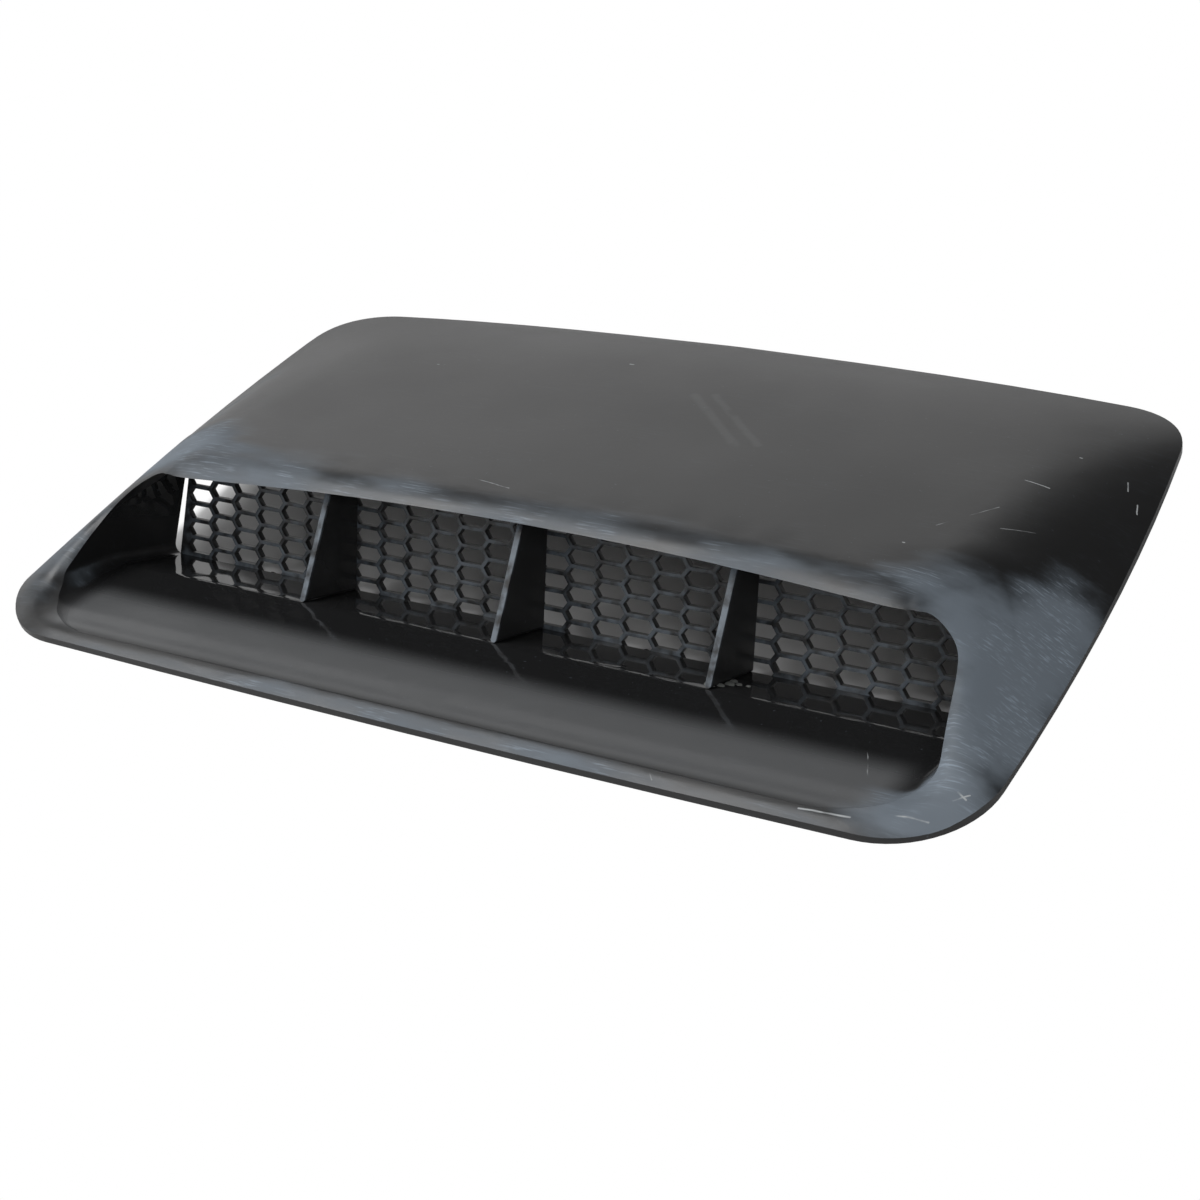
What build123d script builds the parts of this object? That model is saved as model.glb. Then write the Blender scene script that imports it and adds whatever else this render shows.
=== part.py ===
from build123d import *
import os
from math import atan2, cos, hypot, radians, sin, sqrt, tan

# Bonnet scoop: a low, wide air intake that is fixed on top of a car's bonnet.
# The mouth faces -Y, +X is to the right of the mouth and +Z is up.
# The origin is at the centre of the four fixing bosses, on the face that meets the bonnet.
# All sizes are in millimetres and all angles in degrees.

# Outline on the bonnet, a rounded trapezoid with bowed sides
front_y = -208.0
rear_y = 208.0
front_bow = 3.0
rear_bow = 14.0
half_front = 319.5
half_mid = 327.0
half_rear = 313.5
front_corner_radius = 58.0
rear_corner_radius = 50.0
mid_y = 0.0

# Room for the cuts, beyond the scoop itself
block_depth = 170.0
clear_height = 90.0

# Moulded skin
wall = 3.0
edge_height = 4.6
roof_height = 55.0
roof_start_y = -62.0
roof_fall = 9.3
roof_crown = 5.0
shoulder_half = 275.0
shoulder_blend = 24.0
flank_slope_limit = 0.74
skin_overrun = 25.0
tail_slope = 0.34
tail_blend = 18.0
skin_tolerance = 0.1
skin_grid_across = ((0, 7), (150, 6), (232, 26), (306, 7), (342, 1))
skin_grid_along = ((-216, 16), (-150, 10), (-100, 16), (-52, 14), (100, 14), (214, 1))

# Nose and the raked frame of the mouth
nose_height = 8.5
nose_slope = 0.5
nose_blend = 4.0
ramp_foot_y = -161.0
ramp_foot_height = 11.4
ramp_slope = 0.47
ramp_blend = 7.0
lip_blend = 8.0
rim_roll = 3.2
rim_width = 8.0
rim_rise = 13.0
rim_end_y = -64.0
rim_fade = 12.0

# Duct inside the mouth
crest_y = -200.0
valley_y = -186.0
valley_height = 4.8
fin_foot_y = -113.5
fin_foot_height = -9.5
mesh_foot_y = -67.0
mesh_foot_height = -33.2
duct_half = 294.0
duct_level = 7.0
duct_lean = 0.15
duct_converge = 0.10
duct_corner = 38.0
duct_floor_round_front = 22.0
duct_floor_round_rear = 7.0
duct_roof_round_front = 26.0
duct_roof_round_rear = 38.0
duct_roof_round_start_y = -98.0
lip_thickness = 4.2
lip_roll = 5.0
lip_roll_start_y = -84.0
lip_roll_length = 24.0

# Mesh grille, cut from a sheet with a hexagon pattern
mesh_lean = 24.6
mesh_thickness = 4.5
column_pitch = 19.6
row_pitch = 11.4
point_run = 4.0
web = 2.3
pattern_shift = 6.6
pattern_rise = 1.5
pattern_rows = 8
pattern_columns = 15
mesh_border = 7.0
mesh_side_gap = 1.8
mesh_clearance = 0.25
mesh_headroom = 2.0

# Flanges of the duct that the grille lies against, with the pegs that hold it
flange_depth = 9.0
peg_diameter = 4.0
peg_head_diameter = 7.0
peg_head_height = 1.6
peg_hole_clearance = 0.3
peg_pitch = 140.0

# Divider fins
fin_spacing = 140.0
fin_count = 3
fin_thickness = 3.6
fin_rake = 45.0
fin_clearance = 0.3
fin_headroom = 0.8
fin_nose_flat = 0.2
fin_names = ("fin_left", "fin_centre", "fin_right")

# Fixing bosses under the skin
boss_half_x = 297.0
boss_half_y = 110.0
boss_diameter = 11.0
pilot_diameter = 4.2
pilot_depth = 9.0


def soft_min(first, second, blend):
    """Lower of two heights, with a smooth change from one to the other."""
    overlap = max(blend - abs(first - second), 0.0) / blend
    return min(first, second) - overlap * overlap * blend / 4


def soft_max(first, second, blend):
    """Higher of two heights, with a smooth change from one to the other."""
    return -soft_min(-first, -second, blend)


def between(y, start, end):
    """Share of the way from one distance along the scoop to another, held at both ends."""
    return min(max((y - start) / (end - start), 0.0), 1.0)


def half_width(y):
    """Half of the outline's width at a distance along the scoop."""
    if y < mid_y:
        return half_mid - (half_mid - half_front) * ((y - mid_y) / (front_y - mid_y)) ** 2
    return half_mid - (half_mid - half_rear) * ((y - mid_y) / (rear_y - mid_y)) ** 2


def from_corner(side, end, radius):
    """Distance in from an outline with a rounded corner, from the distances to its two sides."""
    if side < radius and end < radius:
        return radius - hypot(radius - side, radius - end)
    return min(side, end)


def roof_line(y):
    return roof_height - tan(radians(roof_fall)) * (y - roof_start_y)


def roof_surface(x, y):
    return roof_line(y) - roof_crown * (x / shoulder_half) ** 2


def floor_height(y):
    """Height of the duct's floor: a crest at the nose, a long apron and a drop to the grille."""
    knots = [
        (crest_y, nose_height),
        (valley_y, valley_height),
        (fin_foot_y, fin_foot_height),
        (mesh_foot_y, mesh_foot_height),
    ]
    span = 0
    while span < len(knots) - 2 and y > knots[span + 1][0]:
        span += 1
    (start_y, start_z), (end_y, end_z) = knots[span], knots[span + 1]
    return start_z + (y - start_y) * (end_z - start_z) / (end_y - start_y)


def lip_drop(y):
    """Depth of the duct's roof below the outer skin, more at the rolled lip of the mouth."""
    past_lip = between(y, lip_roll_start_y, lip_roll_start_y + lip_roll_length)
    return lip_thickness + lip_roll * (1 - past_lip)


def duct_half_width(y, z):
    """Half width of the duct, whose front corners are round in plan."""
    half = duct_half - duct_converge * (y - ramp_foot_y) - duct_lean * (z - duct_level)
    forward = min(max(ramp_foot_y - y, 0.0), duct_corner)
    beyond = max(ramp_foot_y - duct_corner - y, 0.0)
    return half - duct_corner + sqrt(duct_corner**2 - forward**2) - beyond


def duct_roof(x, y):
    """Height of the duct's roof above the bonnet."""
    return roof_line(y) - lip_drop(y) - roof_crown * (x / shoulder_half) ** 2


def duct_roof_round(y):
    """Radius between the duct's roof and its sides, larger toward the grille."""
    toward_mesh = between(y, duct_roof_round_start_y, mesh_foot_y)
    return duct_roof_round_front + toward_mesh * (duct_roof_round_rear - duct_roof_round_front)


def duct_distance(x, y, z):
    """Distance of a point from the duct's roof or side, measured across the scoop, less than 0 inside."""
    radius = duct_roof_round(y)
    corner = duct_roof(duct_half_width(y, roof_line(y)), y)
    past_side = abs(x) - duct_half_width(y, corner - radius) + radius
    past_top = z - corner + radius
    if past_side > 0 and past_top > 0:
        return hypot(past_side, past_top) - radius
    return max(abs(x) - duct_half_width(y, z), z - duct_roof(x, y))


def skin_form(x, y):
    """Height of the outer skin above the bonnet, before its edge at the mouth is rounded."""
    side = max(half_width(y) - abs(x), -skin_overrun)
    front = y - front_y - front_bow * (x / half_front) ** 2
    rear = rear_y - rear_bow * (x / half_rear) ** 2 - y
    shoulder = roof_surface(shoulder_half, y)
    flank_slope = min((shoulder - edge_height) / (half_width(y) - shoulder_half), flank_slope_limit)
    flank = edge_height + flank_slope * side
    tail = edge_height + tail_slope * rear
    blend = shoulder_blend * roof_line(y) / roof_height
    body = soft_min(soft_min(flank, tail, tail_blend), roof_surface(x, y), blend)
    rise = nose_slope * from_corner(side, front, front_corner_radius)
    nose = soft_min(edge_height + rise, nose_height, nose_blend)
    ramp = ramp_foot_height + ramp_slope * (y - ramp_foot_y)
    return soft_min(body, soft_max(ramp, nose, ramp_blend), lip_blend)


def skin_height(x, y):
    """Height of the outer skin above the bonnet, rolled down at the edge of the mouth."""
    height = skin_form(x, y)
    outward = duct_distance(x, y, height) / rim_width
    if outward > 1 or y > rim_end_y:
        return height
    roll = (1 - outward) ** 2 if outward > 0 else 1 - 2 * outward / (1 - outward)
    share = between(height - floor_height(y), 0, rim_rise) * between(y, rim_end_y, rim_end_y - rim_fade)
    return height - rim_roll * roll * share


def under_skin(x, y):
    """Height of the skin's underside, one wall thickness in from the outer skin."""
    step = 0.5
    slope_x = (skin_height(x + step, y) - skin_height(x - step, y)) / (2 * step)
    slope_y = (skin_height(x, y + step) - skin_height(x, y - step)) / (2 * step)
    return skin_height(x, y) - wall * sqrt(1 + slope_x**2 + slope_y**2)


def outline_sketch(inset):
    """Outline of the scoop on the bonnet, or the same outline moved in."""
    front, rear = front_y + inset, rear_y - inset
    corners = front + front_bow, rear - rear_bow
    wide_front, wide_mid, wide_rear = half_front - inset, half_mid - inset, half_rear - inset
    with BuildSketch(mode=Mode.PRIVATE) as outline:
        with BuildLine():
            ThreePointArc((-wide_front, corners[0]), (0, front), (wide_front, corners[0]))
            ThreePointArc((wide_front, corners[0]), (wide_mid, mid_y), (wide_rear, corners[1]))
            ThreePointArc((wide_rear, corners[1]), (0, rear), (-wide_rear, corners[1]))
            ThreePointArc((-wide_rear, corners[1]), (-wide_mid, mid_y), (-wide_front, corners[0]))
        make_face()
        fillet(outline.vertices().group_by(Axis.Y)[0], front_corner_radius - inset)
        fillet(outline.vertices().group_by(Axis.Y)[-1], rear_corner_radius - inset)
    return outline.sketch


def outline_prism(inset, bottom, top):
    with BuildPart() as prism:
        with BuildSketch(Plane.XY.offset(bottom)):
            add(outline_sketch(inset))
        extrude(amount=top - bottom)
    return prism.part


def grid_lines(spans):
    """Places of grid lines, from the start of each span and the number of lines in it."""
    places = []
    for (start, count), (end, _) in zip(spans, spans[1:]):
        places += [start + (end - start) * line / count for line in range(count)]
    return places + [spans[-1][0]]


def skin_block(height):
    """Block whose top is the skin, one surface through a grid of heights above the bonnet."""
    across = grid_lines(skin_grid_across)
    across = [-x for x in reversed(across[1:])] + across
    along = grid_lines(skin_grid_along)
    grid = [[Vector(x, y, height(x, y)) for y in along] for x in across]
    skin = Face.make_surface_from_array_of_points(grid, tol=skin_tolerance, min_deg=3, max_deg=3)
    with BuildPart() as block:
        extrude(to_extrude=skin, amount=block_depth, dir=(0, 0, -1))
    return block.part


duct_stations = (
    (-214, -207, -200, -193, -186, -179, -170, -161, -148, -135, -125, -118, -113, -108, -102)
    + (-96, -90, -85, -80, -74, -68, -62, -56, -48, -40, -33, -26, -20)
)


def duct_space(grow):
    """Air space of the duct, a loft through its cross sections, or the same space grown by a wall."""
    with BuildPart() as space:
        for y in duct_stations:
            low = floor_height(y) - grow
            high = roof_line(y) - lip_drop(y) + grow
            wide = duct_half_width(y, low) + grow
            narrow = duct_half_width(y, high) + grow
            corner = high - roof_crown * (narrow / shoulder_half) ** 2
            toward_fins = between(y, crest_y, fin_foot_y)
            floor_round = duct_floor_round_front + toward_fins * (duct_floor_round_rear - duct_floor_round_front)
            with BuildSketch(Plane.XZ.offset(-y)) as section:
                with BuildLine():
                    Polyline((-narrow, corner), (-wide, low), (wide, low), (narrow, corner))
                    ThreePointArc((narrow, corner), (0, high), (-narrow, corner))
                make_face()
                fillet(section.vertices().group_by(Axis.Y)[0], floor_round + grow)
                fillet(section.vertices().group_by(Axis.Y)[-1], duct_roof_round(y) + grow)
        loft()
    return space.part



lean = radians(mesh_lean)
mesh_plane = Plane(
    origin=(0, mesh_foot_y, mesh_foot_height),
    x_dir=(1, 0, 0),
    z_dir=(0, -cos(lean), sin(lean)),
)
roof_gap = duct_roof(0, mesh_foot_y) - mesh_foot_height
mesh_height = roof_gap / (cos(lean) + sin(lean) * tan(radians(roof_fall)))


def on_mesh(height):
    """Distance along the scoop and height above the bonnet of a level on the grille's front face."""
    return mesh_foot_y + height * sin(lean), mesh_foot_height + height * cos(lean)


def mesh_panel_half(height, gap):
    return duct_half_width(*on_mesh(height)) - gap


def peg_places():
    """Places of the pegs along the grille, midway between the fins."""
    first = -peg_pitch * (fin_count / 2)
    return [first + peg_pitch * place for place in range(fin_count + 1)]


def hexagon_points():
    """Corners of one opening, a hexagon that points to both sides."""
    slant = atan2(row_pitch / 2, point_run)
    tip = (column_pitch + point_run) / 2 - web / 2 / sin(slant)
    flat = (row_pitch - web) / 2
    shoulder = tip - flat / tan(slant)
    return [(-tip, 0), (-shoulder, flat), (shoulder, flat), (tip, 0), (shoulder, -flat), (-shoulder, -flat)]


def pattern_places():
    """Centres of the openings, in columns that are shifted by half a row in turn."""
    places = []
    for column in range(-pattern_columns, pattern_columns + 1):
        shift = row_pitch / 2 if column % 2 == 0 else 0.0
        for row in range(pattern_rows):
            x = pattern_shift + column * column_pitch
            height = pattern_rise + shift + row * row_pitch
            if abs(x) < mesh_panel_half(height, mesh_side_gap + mesh_border) and height < window_top:
                places.append((x, height))
    return places


# Air space of the duct, and the same space grown by the wall as far as the grille
duct_air = duct_space(0)
with BuildPart() as duct_body:
    add(duct_space(wall))
    split(bisect_by=mesh_plane, keep=Keep.TOP)

# Space under the skin, open to the bonnet, apart from the duct and the fixing bosses that hang in it
boss_places = [(x, y) for x in (-boss_half_x, boss_half_x) for y in (-boss_half_y, boss_half_y)]
with BuildPart() as void:
    add(skin_block(under_skin))
    add(outline_prism(wall, -wall, clear_height), mode=Mode.INTERSECT)
    add(duct_body.part, mode=Mode.SUBTRACT)
    with Locations(boss_places):
        Cylinder(boss_diameter / 2, 2 * clear_height, mode=Mode.SUBTRACT)

# Flanges along the lower and upper edges of the duct, which the grille lies against
lower_peg_height = -flange_depth / 2
with BuildPart() as flanges:
    with BuildSketch(mesh_plane):
        lower_half = mesh_panel_half(0, duct_floor_round_rear)
        with Locations((0, -flange_depth / 2)):
            Rectangle(2 * lower_half, flange_depth)
        upper_half = mesh_panel_half(mesh_height, duct_roof_round_rear)
        with Locations((0, mesh_height - mesh_border / 2)):
            Rectangle(2 * upper_half, mesh_border + 2 * wall)
    extrude(amount=wall)

# Outer moulding in one piece: skin, duct, flanges, pegs and fixing bosses
with BuildPart() as shell:
    add(outline_prism(0, 0, clear_height))
    add(duct_body.part)
    add(flanges.part)
    add(skin_block(skin_height), mode=Mode.INTERSECT)
    add(void.part, mode=Mode.SUBTRACT)
    add(duct_air, mode=Mode.SUBTRACT)
    with Locations([(x, y, pilot_depth / 2) for x, y in boss_places]):
        Cylinder(pilot_diameter / 2, pilot_depth, mode=Mode.SUBTRACT)
    peg_length = mesh_clearance + mesh_thickness + peg_head_height
    with BuildSketch(mesh_plane):
        with Locations([(x, lower_peg_height) for x in peg_places()]):
            Circle(peg_diameter / 2)
    extrude(amount=-peg_length)
    with BuildSketch(mesh_plane.offset(-mesh_clearance - mesh_thickness)):
        with Locations([(x, lower_peg_height) for x in peg_places()]):
            Circle(peg_head_diameter / 2)
    extrude(amount=-peg_head_height, taper=20)
shell.part.label = "shell"

# Mesh grille behind the duct, a thick sheet with hexagon openings inside a plain border
mesh_top = mesh_height - mesh_headroom
window_top = mesh_top - mesh_border
with BuildPart() as mesh_grille:
    with BuildSketch(mesh_plane.offset(-mesh_clearance)):
        with BuildLine():
            low = mesh_panel_half(0, mesh_side_gap + duct_floor_round_rear / 2)
            high = mesh_panel_half(mesh_top, mesh_side_gap)
            sides = [(low, 0), (high, mesh_top), (-high, mesh_top), (-low, 0)]
            Polyline((-low, -flange_depth), (low, -flange_depth), *sides, close=True)
        panel = make_face()
        fillet(panel.vertices().group_by(Axis.Y)[-1], duct_roof_round_rear)
    extrude(amount=-mesh_thickness)
    with BuildSketch(mesh_plane.offset(-mesh_clearance)):
        with Locations(pattern_places()):
            Polygon(*hexagon_points(), align=None)
        with BuildLine():
            low = mesh_panel_half(0, mesh_side_gap + mesh_border)
            high = mesh_panel_half(window_top, mesh_side_gap + mesh_border)
            Polyline((-low, 0.3), (low, 0.3), (high, window_top), (-high, window_top), close=True)
        window = make_face(mode=Mode.PRIVATE)
        add(fillet(window.vertices().group_by(Axis.Y)[-1], duct_roof_round_rear - mesh_border), mode=Mode.INTERSECT)
    extrude(amount=-mesh_thickness, mode=Mode.SUBTRACT)
    with BuildSketch(mesh_plane.offset(-mesh_clearance)):
        with Locations([(x, lower_peg_height) for x in peg_places()]):
            Circle(peg_diameter / 2 + peg_hole_clearance)
    extrude(amount=-mesh_thickness, mode=Mode.SUBTRACT)
mesh_grille.part.label = "mesh_grille"


def fin_profile():
    """Side view of a divider fin: raked front edge, foot on the floor, back against the grille."""
    slope = tan(radians(fin_rake))
    foot = fin_foot_y, fin_foot_height + fin_clearance
    back_y, back_z = on_mesh(0)
    heel = back_y - mesh_clearance, back_z + fin_clearance
    lip_y = foot[0] + (duct_roof(fin_spacing, foot[0] / 2) - foot[1]) / slope
    lip = lip_y, foot[1] + (lip_y - foot[0]) * slope - fin_headroom
    top_y, top_z = on_mesh(mesh_top)
    return [foot, (lip[0] - fin_headroom, lip[1]), (top_y - mesh_clearance, duct_roof(fin_spacing, top_y) - fin_headroom), heel]


fins = []
for place, name in enumerate(fin_names):
    x = (place - (fin_count - 1) / 2) * fin_spacing
    with BuildPart() as fin:
        with BuildSketch(Plane.YZ.offset(x)):
            with BuildLine():
                Polyline(*fin_profile(), close=True)
            make_face()
        extrude(amount=fin_thickness / 2, both=True)
        front = fin.faces().sort_by(Axis.Y)[0]
        fillet(front.edges().filter_by(Axis.X, reverse=True), fin_thickness / 2 - fin_nose_flat)
    fin.part.label = name
    fins.append(fin.part)

os.makedirs("parts", exist_ok=True)
for part in [shell.part, mesh_grille.part] + fins:
    export_step(part, f"parts/{part.label}.step")
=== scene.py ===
"""Blender scene of a bonnet scoop: a black moulded air intake with a hexagon grille and divider fins.

Every length is in metres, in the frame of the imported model: +Z is up from the bonnet, -Y is the way the
mouth faces and +X is to the right of the mouth.
"""

import logging
import math
from dataclasses import dataclass, field
from enum import Enum
import bpy
from mathutils import Matrix, Vector


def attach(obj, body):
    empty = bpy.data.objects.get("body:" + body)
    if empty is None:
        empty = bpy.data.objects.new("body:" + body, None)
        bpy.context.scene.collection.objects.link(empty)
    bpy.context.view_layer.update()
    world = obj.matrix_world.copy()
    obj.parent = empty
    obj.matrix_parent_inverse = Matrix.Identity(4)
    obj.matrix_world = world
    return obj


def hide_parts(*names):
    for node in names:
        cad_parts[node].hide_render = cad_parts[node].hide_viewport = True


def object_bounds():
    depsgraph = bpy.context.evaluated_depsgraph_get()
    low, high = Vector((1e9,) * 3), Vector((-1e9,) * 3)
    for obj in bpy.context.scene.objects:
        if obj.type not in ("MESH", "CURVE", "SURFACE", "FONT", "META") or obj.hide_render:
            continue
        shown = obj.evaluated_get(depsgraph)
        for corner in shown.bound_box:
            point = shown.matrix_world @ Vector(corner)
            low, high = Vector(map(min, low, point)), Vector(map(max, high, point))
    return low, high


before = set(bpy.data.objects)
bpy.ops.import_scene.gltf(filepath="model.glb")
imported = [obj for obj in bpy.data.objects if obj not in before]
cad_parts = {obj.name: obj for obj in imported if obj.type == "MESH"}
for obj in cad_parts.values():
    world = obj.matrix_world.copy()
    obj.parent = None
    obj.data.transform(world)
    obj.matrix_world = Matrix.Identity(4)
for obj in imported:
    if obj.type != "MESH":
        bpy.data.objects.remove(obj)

CAD_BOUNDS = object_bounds()
log = logging.getLogger("bonnet_scoop")

Point = tuple[float, float, float]
Colour = tuple[float, float, float, float]
Step = tuple[float, float]
Mask = bpy.types.NodeSocket

WHITE: Colour = (1.0, 1.0, 1.0, 1.0)


class Level(Enum):
    """How strongly a pale place or mark shows."""

    TRACE = 0.05
    FAINT = 0.3
    SOFT = 0.45
    CLEAR = 0.6
    STRONG = 1.0


@dataclass(frozen=True)
class PalePatch:
    """A soft-edged pale place: rubbed dull surface, and along the nose and lip partly a painted highlight.

    Args:
        centre: Middle of the place.
        reach: Half of its size along X, Y and Z.
        level: How strongly it shows.
    """

    centre: Point
    reach: Point
    level: Level


@dataclass(frozen=True)
class Mark:
    """A single scratch, smear or nick.

    Args:
        start: One end.
        end: The other end.
        width: Width across.
        level: How strongly it shows.
    """

    start: Point
    end: Point
    width: float
    level: Level


class Graph:
    """A node tree with short ways to add and join its nodes."""

    def __init__(self, tree: bpy.types.NodeTree) -> None:
        """Keeps the tree.

        Args:
            tree: Node tree of a material, a world or a group.
        """
        self.tree = tree

    def node(self, kind: str, **settings: object) -> bpy.types.Node:
        """Adds a node.

        Args:
            kind: Node type, such as "ShaderNodeTexNoise".
            **settings: Properties of the node.

        Returns:
            The new node.
        """
        made = self.tree.nodes.new(kind)
        for name, value in settings.items():
            setattr(made, name, value)
        return made

    def feed(self, socket: bpy.types.NodeSocket, value: object) -> None:
        """Links an output to a socket, or sets the socket to a plain value.

        Args:
            socket: Input socket.
            value: Output socket, number, vector or colour.
        """
        if isinstance(value, bpy.types.NodeSocket):
            self.tree.links.new(value, socket)
        else:
            socket.default_value = value

    def math(self, operation: str, first: object, second: object = 0.0, clamp: bool = False) -> Mask:
        """Adds a Math node.

        Args:
            operation: Name of the operation.
            first: First value.
            second: Second value.
            clamp: Whether the result is held between 0 and 1.

        Returns:
            The result.
        """
        made = self.node("ShaderNodeMath", operation=operation, use_clamp=clamp)
        self.feed(made.inputs[0], first)
        self.feed(made.inputs[1], second)
        return made.outputs[0]

    def vector(self, operation: str, first: object, second: object = (0.0, 0.0, 0.0)) -> bpy.types.Node:
        """Adds a Vector Math node.

        Args:
            operation: Name of the operation.
            first: First vector.
            second: Second vector.

        Returns:
            The node, whose outputs are Vector and Value.
        """
        made = self.node("ShaderNodeVectorMath", operation=operation)
        self.feed(made.inputs[0], first)
        self.feed(made.inputs[1], second)
        return made

    def scaled(self, vector: object, factor: object) -> Mask:
        """Multiplies a vector by a number.

        Args:
            vector: Vector to scale.
            factor: Number to scale it by.

        Returns:
            The scaled vector.
        """
        made = self.node("ShaderNodeVectorMath", operation="SCALE")
        self.feed(made.inputs[0], vector)
        self.feed(made.inputs["Scale"], factor)
        return made.outputs["Vector"]

    def ramp(self, value: object, low: float, high: float, start: object = 0.0, end: float = 1.0) -> Mask:
        """Turns a value into a smooth step.

        Args:
            value: Value to map.
            low: Value where the step starts.
            high: Value where the step ends.
            start: Result at the start.
            end: Result at the end.

        Returns:
            The mapped value.
        """
        made = self.node("ShaderNodeMapRange", interpolation_type="SMOOTHSTEP")
        given = {"Value": value, "From Min": low, "From Max": high, "To Min": start, "To Max": end}
        for name, setting in given.items():
            self.feed(made.inputs[name], setting)
        return made.outputs["Result"]

    def product(self, *factors: object) -> Mask:
        """Multiplies values together.

        Args:
            *factors: Two or more values.

        Returns:
            Their product.
        """
        total = factors[0]
        for factor in factors[1:]:
            total = self.math("MULTIPLY", total, factor)
        return total

    def parts(self, vector: object) -> tuple[Mask, Mask, Mask]:
        """Splits a vector.

        Args:
            vector: Vector to split.

        Returns:
            Its X, Y and Z.
        """
        made = self.node("ShaderNodeSeparateXYZ")
        self.feed(made.inputs[0], vector)
        return made.outputs["X"], made.outputs["Y"], made.outputs["Z"]

    def blend(self, share: object, first: object, second: object) -> Mask:
        """Mixes two numbers.

        Args:
            share: Share of the second number.
            first: First number.
            second: Second number.

        Returns:
            The mixed number.
        """
        made = self.node("ShaderNodeMix", data_type="FLOAT")
        self.feed(made.inputs[0], share)
        self.feed(made.inputs[2], first)
        self.feed(made.inputs[3], second)
        return made.outputs[0]

    def bump(self, shader: bpy.types.Node, height: object, strength: float, distance: float) -> None:
        """Gives a shader fine relief.

        Args:
            shader: The shader.
            height: Height of the relief.
            strength: How strongly it shows.
            distance: Height of one unit of relief.
        """
        made = self.node("ShaderNodeBump")
        made.inputs["Strength"].default_value = strength
        made.inputs["Distance"].default_value = distance
        self.feed(made.inputs["Height"], height)
        self.feed(shader.inputs["Normal"], made.outputs["Normal"])

    def mix(self, share: object, first: Colour, second: object) -> Mask:
        """Mixes two colours.

        Args:
            share: Share of the second colour.
            first: First colour.
            second: Second colour.

        Returns:
            The mixed colour.
        """
        made = self.node("ShaderNodeMix", data_type="RGBA")
        self.feed(made.inputs[0], share)
        self.feed(made.inputs[6], first)
        self.feed(made.inputs[7], second)
        return made.outputs[2]

    def noise(self, position: object, scale: float, detail: float = 2.0) -> Mask:
        """Adds a noise texture.

        Args:
            position: Place that the noise is read at.
            scale: Number of features in a metre.
            detail: Number of finer layers.

        Returns:
            The noise, about 0.5 on average.
        """
        made = self.node("ShaderNodeTexNoise")
        self.feed(made.inputs["Vector"], position)
        made.inputs["Scale"].default_value = scale
        made.inputs["Detail"].default_value = detail
        return made.outputs["Fac"]

    def group(self, tree: bpy.types.NodeTree, **values: object) -> bpy.types.Node:
        """Places a shared node group.

        Args:
            tree: Tree of the group.
            **values: Its inputs by name, with underscores for spaces.

        Returns:
            The group's node.
        """
        made = self.node("ShaderNodeGroup", node_tree=tree)
        for name, value in values.items():
            self.feed(made.inputs[name.replace("_", " ").title()], value)
        return made


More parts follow.
